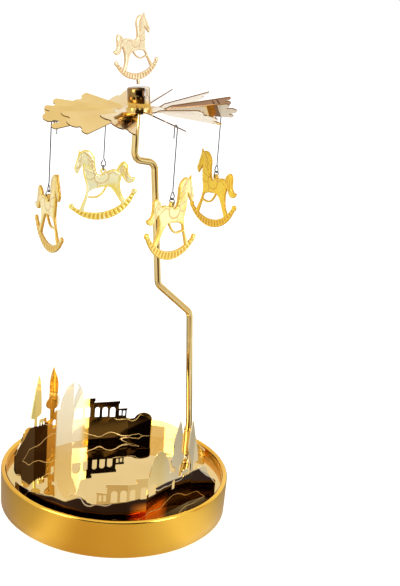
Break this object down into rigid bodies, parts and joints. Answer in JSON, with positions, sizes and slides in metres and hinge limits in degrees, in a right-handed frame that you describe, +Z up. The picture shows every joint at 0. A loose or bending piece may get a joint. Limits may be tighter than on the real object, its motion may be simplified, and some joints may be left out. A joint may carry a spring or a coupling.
{
  "type": "angel chime carousel",
  "caption": "Tealight carousel: round tray with a pierced landscape border, cranked rod, pinwheel fan turning on a needle and hanging rocking-horse charms.",
  "frame": {"origin": "middle of the tray's underside, on the table", "axes": "+Z up along the rotor's spin axis, +X to the viewer's right, -Y towards the viewer"},
  "size_m": [0.084, 0.084, 0.179],
  "materials": {
    "satin_gold": "satin",
    "mirror_gold": "mirror",
    "polished_gold": "polished",
    "pale_gold": "polished",
    "charm_gold": "polished",
    "steel": "drawn wire"
  },
  "bodies": {
    "tray": {"tray_shell": "satin_gold", "mirror_floor": "mirror_gold", "rear_landscape_strip": "polished_gold", "front_landscape_strip": "polished_gold", "rod_socket": "polished_gold", "socket_washer": "steel", "socket_nut": "steel"},
    "rod": {"support_rod": "polished_gold"},
    "rotor": {"hub_cup": "polished_gold", "fan_collar": "polished_gold", "chime_fan": "pale_gold", "top_rocking_horse": "charm_gold"},
    "right_wire": {"right_hanger_wire": "steel", "right_jump_ring": "steel"},
    "right_horse": {"right_rocking_horse": "charm_gold"},
    "rear_wire": {"rear_hanger_wire": "steel", "rear_jump_ring": "steel"},
    "rear_horse": {"rear_rocking_horse": "charm_gold"},
    "left_wire": {"left_hanger_wire": "steel", "left_jump_ring": "steel"},
    "left_horse": {"left_rocking_horse": "charm_gold"},
    "front_wire": {"front_hanger_wire": "steel", "front_jump_ring": "steel"},
    "front_horse": {"front_rocking_horse": "charm_gold"}
  },
  "joints": [
    {"name": "rod_lift", "type": "slide", "parent": "tray", "child": "rod", "axis": [0, 0, 1], "range_m": [0, 0.01148]},
    {"name": "rotor_spin", "type": "hinge", "parent": "rod", "child": "rotor", "pos_m": [0, 0, 0.15408], "axis": [0, 0, 1], "continuous": true},
    {"name": "right_wire_swing", "type": "hinge", "parent": "rotor", "child": "right_wire", "pos_m": [0.0284, 0.01169, 0.14804], "axis": [0.3806, -0.9248, 0], "range_deg": [-10, 20]},
    {"name": "rear_wire_swing", "type": "hinge", "parent": "rotor", "child": "rear_wire", "pos_m": [-0.01078, 0.02769, 0.14406], "axis": [0.9319, 0.3627, 0], "range_deg": [-10, 20]},
    {"name": "left_wire_swing", "type": "hinge", "parent": "rotor", "child": "left_wire", "pos_m": [-0.0267, -0.01169, 0.14245], "axis": [-0.4011, 0.916, 0], "range_deg": [-10, 20]},
    {"name": "front_wire_swing", "type": "hinge", "parent": "rotor", "child": "front_wire", "pos_m": [0.01248, -0.02769, 0.14643], "axis": [-0.9117, -0.4109, 0], "range_deg": [-10, 20]},
    {"name": "right_horse_rock", "type": "hinge", "parent": "right_wire", "child": "right_horse", "pos_m": [0.02933, 0.01207, 0.12381], "axis": [0.8192, 0.5736, 0], "range_deg": [-15, 15]},
    {"name": "rear_horse_rock", "type": "hinge", "parent": "rear_wire", "child": "rear_horse", "pos_m": [-0.01114, 0.02863, 0.11983], "axis": [-0.2588, 0.9659, 0], "range_deg": [-15, 15]},
    {"name": "left_horse_rock", "type": "hinge", "parent": "left_wire", "child": "left_horse", "pos_m": [-0.02761, -0.01209, 0.11821], "axis": [-0.9063, -0.4226, 0], "range_deg": [-15, 15]},
    {"name": "front_horse_rock", "type": "hinge", "parent": "front_wire", "child": "front_horse", "pos_m": [0.01289, -0.0286, 0.12219], "axis": [0.7547, -0.6561, 0], "range_deg": [-15, 15]}
  ]
}
